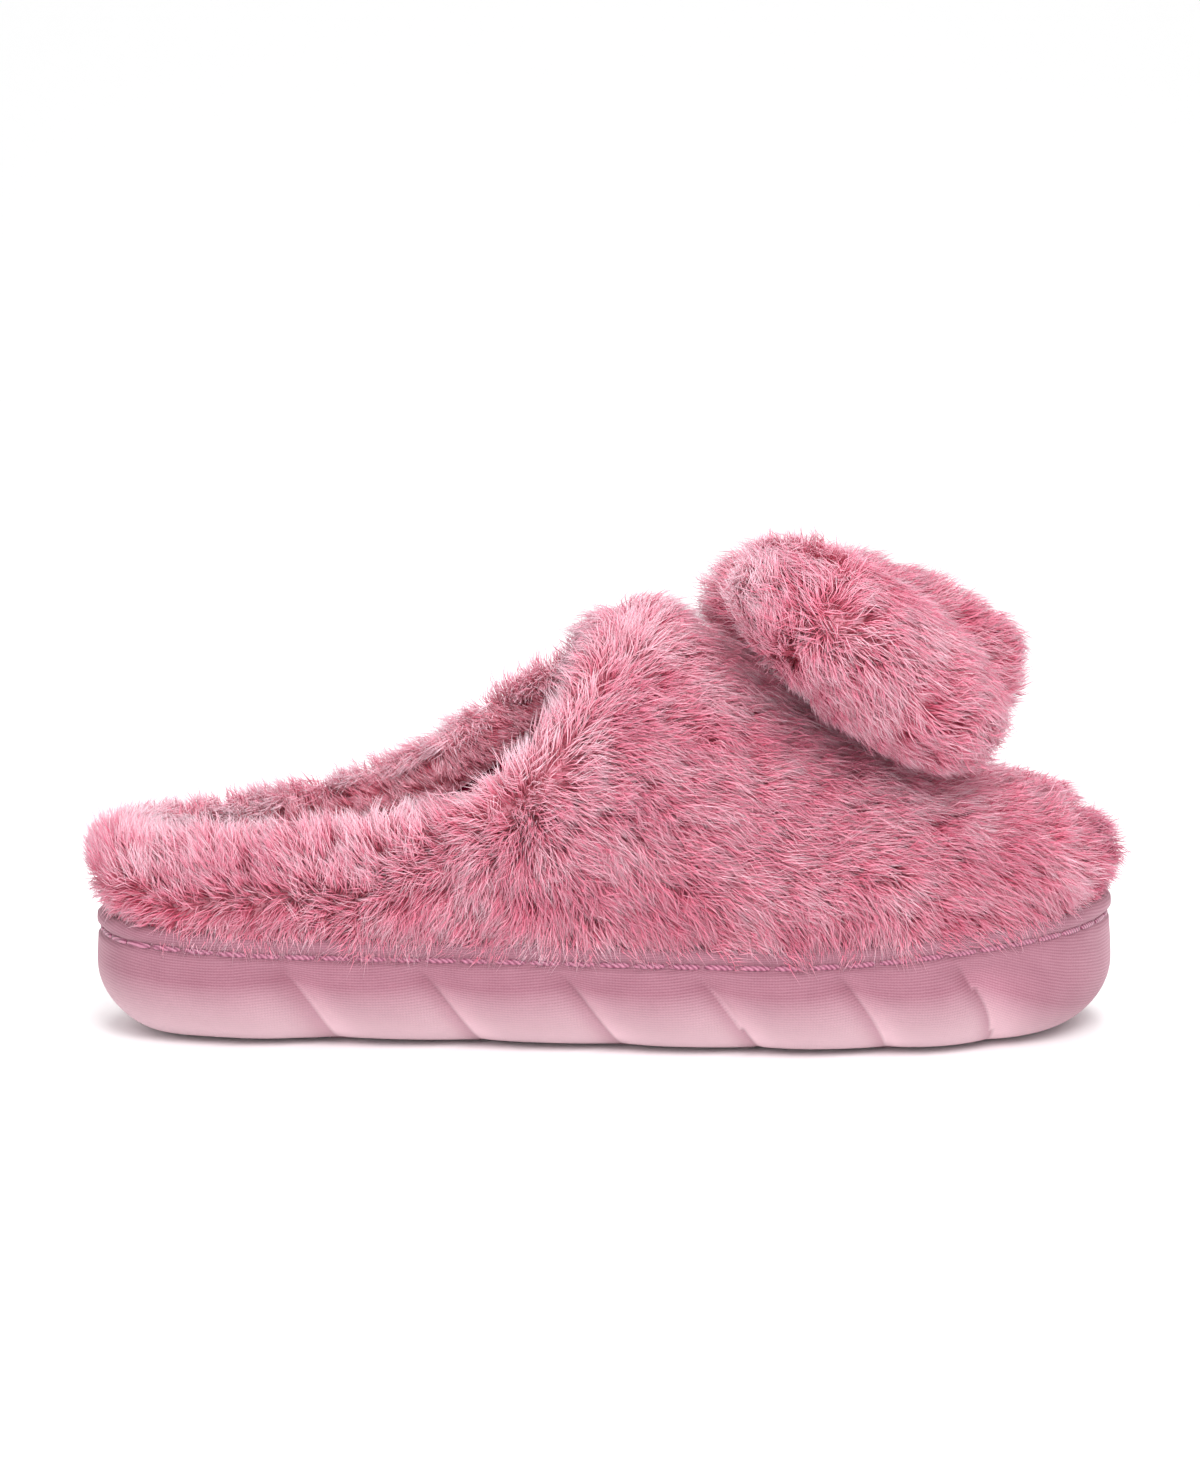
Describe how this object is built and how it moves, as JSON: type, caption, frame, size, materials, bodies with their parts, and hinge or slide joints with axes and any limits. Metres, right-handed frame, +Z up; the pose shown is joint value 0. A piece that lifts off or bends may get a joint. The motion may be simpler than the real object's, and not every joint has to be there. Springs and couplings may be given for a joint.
{
  "type": "house slipper",
  "caption": "Fluffy slip-on house slipper: plush upper with low open collar, stuffed bow on the vamp, fluted knit-covered foam cupsole with stitched lip.",
  "frame": {"origin": "on the ground, at the middle of the slipper's bounding box", "axes": "+X towards the toe, +Y towards the inner side of the foot, +Z up; a right slipper"},
  "size_m": [0.2688, 0.115, 0.1275],
  "materials": {
    "upper_plush": "long-pile faux fur, rose at the root and pale pink at the tip",
    "lining_plush": "short raspberry fleece",
    "sole_knit": "fine ribbed knit, mauve pink",
    "sole_foam": "matt closed-cell foam",
    "outsole_rubber": "matt ribbed rubber",
    "padding_foam": "soft open-cell foam",
    "fibre_filling": "loose polyester fibre",
    "board": "pressed fibre board",
    "felt": "pressed felt",
    "thread": "twisted polyester thread"
  },
  "bodies": {
    "root": {"outsole_tread": "outsole_rubber", "midsole_foam": "sole_foam", "sole_wrap": "sole_knit", "lip_stitching": "thread", "insole_board": "board", "strobel_thread": "thread", "footbed_foam": "padding_foam", "footbed_cover": "lining_plush", "vamp_plush": "upper_plush", "vamp_foam": "padding_foam", "vamp_lining": "lining_plush", "collar_plush": "upper_plush", "collar_foam": "padding_foam", "collar_lining": "lining_plush", "bow_top_panel": "upper_plush", "bow_bottom_panel": "upper_plush", "bow_filling_outer": "fibre_filling", "bow_filling_inner": "fibre_filling", "bow_knot": "upper_plush", "bow_felt": "felt", "bow_tack": "thread"}
  },
  "joints": []
}
